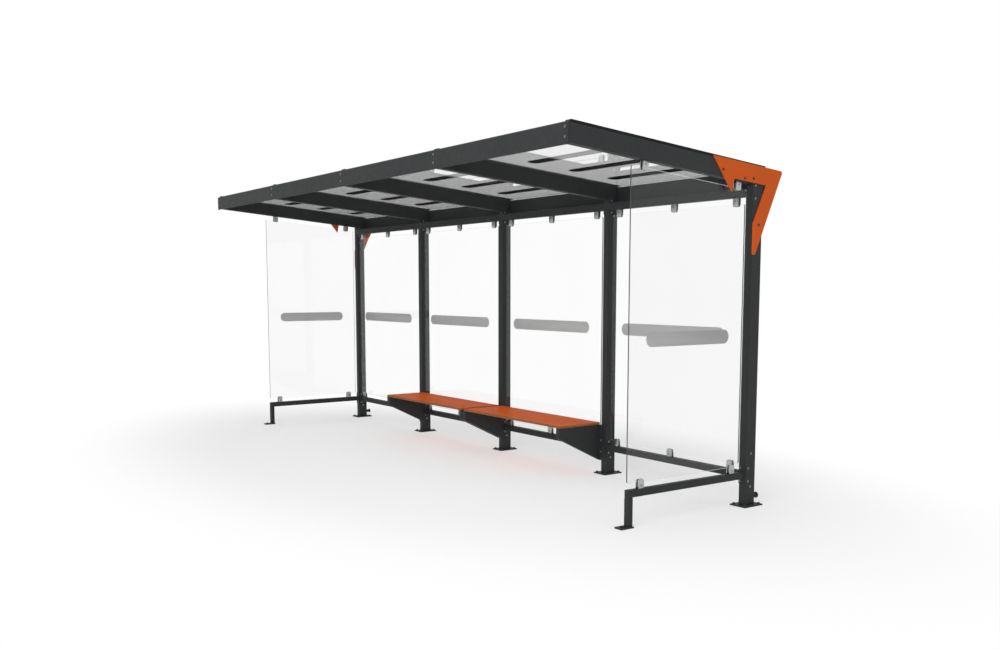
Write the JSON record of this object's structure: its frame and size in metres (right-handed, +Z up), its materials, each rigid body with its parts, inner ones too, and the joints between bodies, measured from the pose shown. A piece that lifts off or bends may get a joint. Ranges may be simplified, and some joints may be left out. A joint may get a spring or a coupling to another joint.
{
  "type": "bus shelter",
  "caption": "Open-fronted bus shelter: dark steel frame, single-pitch roof falling to a rear gutter, clear clamped panes at the back and ends, orange bench and corner plates.",
  "frame": {"origin": "on the ground, under the middle of the shelter's bounding box", "axes": "+X along the shelter to the right seen from the open front, +Y to the back, +Z up"},
  "size_m": [6.14, 1.952, 2.5636],
  "materials": {
    "frame_paint": "anthracite powder coat",
    "orange_paint": "orange powder coat",
    "seat_board": "orange-red laminate board with brown edges",
    "clear_glass": "clear toughened glass",
    "roof_sheet": "grey translucent glossy sheet",
    "cap_strip": "black sealing strip",
    "roof_band": "opaque near-black film",
    "clamp_steel": "satin stainless steel",
    "pane_film": "grey etched film",
    "spout_plastic": "black plastic"
  },
  "bodies": {
    "root": {"rear_post_1": "frame_paint", "rear_post_2": "frame_paint", "rear_post_3": "frame_paint", "rear_post_4": "frame_paint", "rear_post_5": "frame_paint", "post_base_plates": "frame_paint", "rafter_1": "frame_paint", "rafter_2": "frame_paint", "rafter_3": "frame_paint", "rafter_4": "frame_paint", "rafter_5": "frame_paint", "front_fascia": "frame_paint", "rear_top_rails": "frame_paint", "rear_bottom_rails": "frame_paint", "gutter": "frame_paint", "gutter_outlets": "frame_paint", "side_rail_left": "frame_paint", "side_rail_right": "frame_paint", "side_leg_left": "frame_paint", "side_leg_right": "frame_paint", "side_foot_plates": "frame_paint", "bench_arms": "frame_paint", "corner_plate_left": "orange_paint", "corner_plate_right": "orange_paint", "bench_seat_left": "seat_board", "bench_seat_right": "seat_board", "rear_pane_1": "clear_glass", "rear_pane_2": "clear_glass", "rear_pane_3": "clear_glass", "rear_pane_4": "clear_glass", "side_pane_left": "clear_glass", "side_pane_right": "clear_glass", "roof_pane_1": "roof_sheet", "roof_pane_2": "roof_sheet", "roof_pane_3": "roof_sheet", "roof_pane_4": "roof_sheet", "roof_cap_strips": "cap_strip", "roof_bands": "roof_band", "rear_top_clamps": "clamp_steel", "rear_bottom_clamps": "clamp_steel", "side_clamps_left": "clamp_steel", "side_clamps_right": "clamp_steel", "rear_pane_bands": "pane_film", "side_pane_bands": "pane_film", "drain_spouts": "spout_plastic"}
  },
  "joints": []
}
